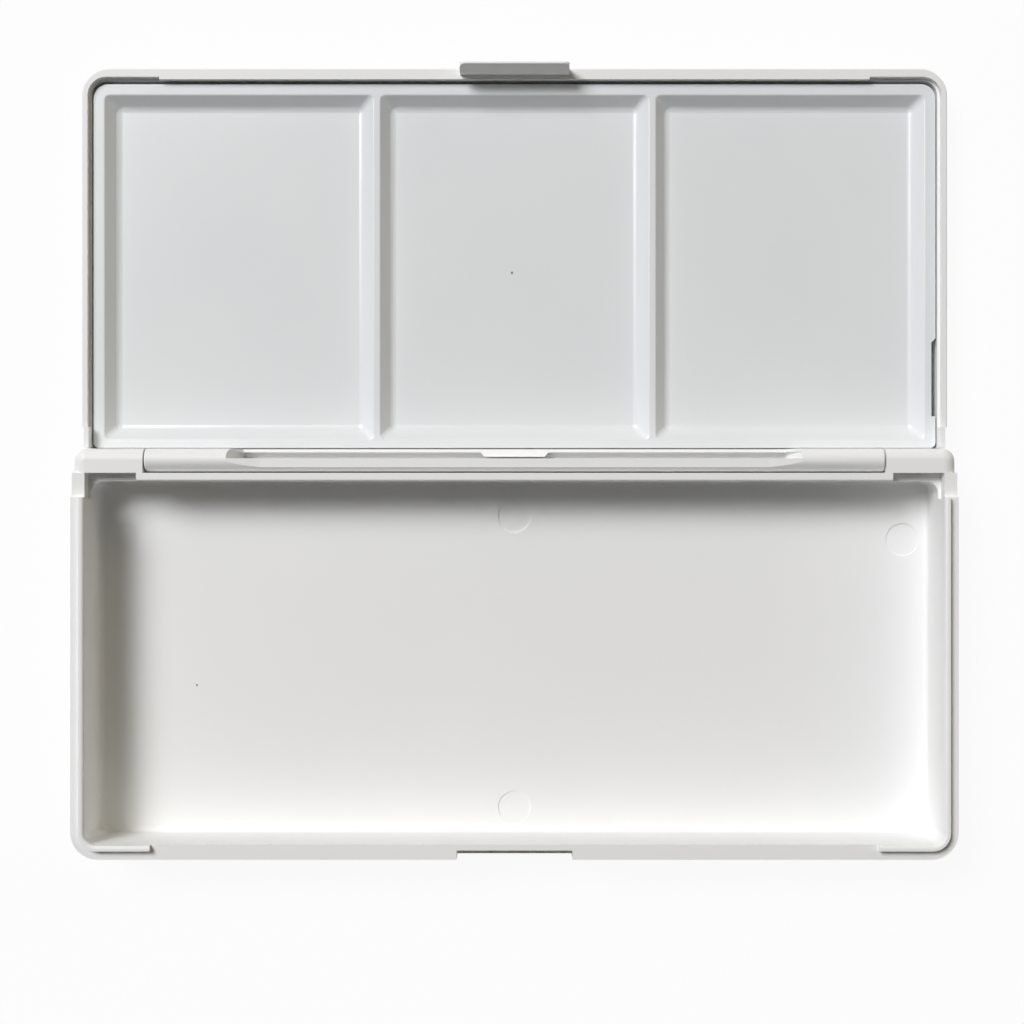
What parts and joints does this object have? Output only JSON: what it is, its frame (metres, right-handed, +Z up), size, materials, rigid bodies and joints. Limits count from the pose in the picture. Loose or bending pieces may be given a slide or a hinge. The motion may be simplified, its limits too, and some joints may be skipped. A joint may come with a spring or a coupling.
{
  "type": "folding palette box",
  "caption": "Shallow white plastic paint box lying open: a deep tray hinged to a lid that holds a mixing tray with wells, with a snap latch at the front.",
  "frame": {"origin": "on the table under the middle of the hinge axis, with the box lying open", "axes": "+X along the hinge, +Y from the hinge towards the front of the open lid, +Z up"},
  "size_m": [0.21, 0.1892, 0.0194],
  "materials": {
    "white_plastic": "moulded, satin",
    "tray_plastic": "moulded, semi-gloss",
    "pin_steel": "drawn wire, cut and chamfered"
  },
  "bodies": {
    "base": {"base_tray": "white_plastic", "hinge_pin_left": "pin_steel", "hinge_pin_right": "pin_steel"},
    "lid": {"lid_shell": "white_plastic", "mixing_tray": "tray_plastic"}
  },
  "joints": [
    {"name": "lid_hinge", "type": "hinge", "parent": "base", "child": "lid", "pos_m": [0, 0, 0.0135], "axis": [1, 0, 0], "range_deg": [0, 180]}
  ]
}
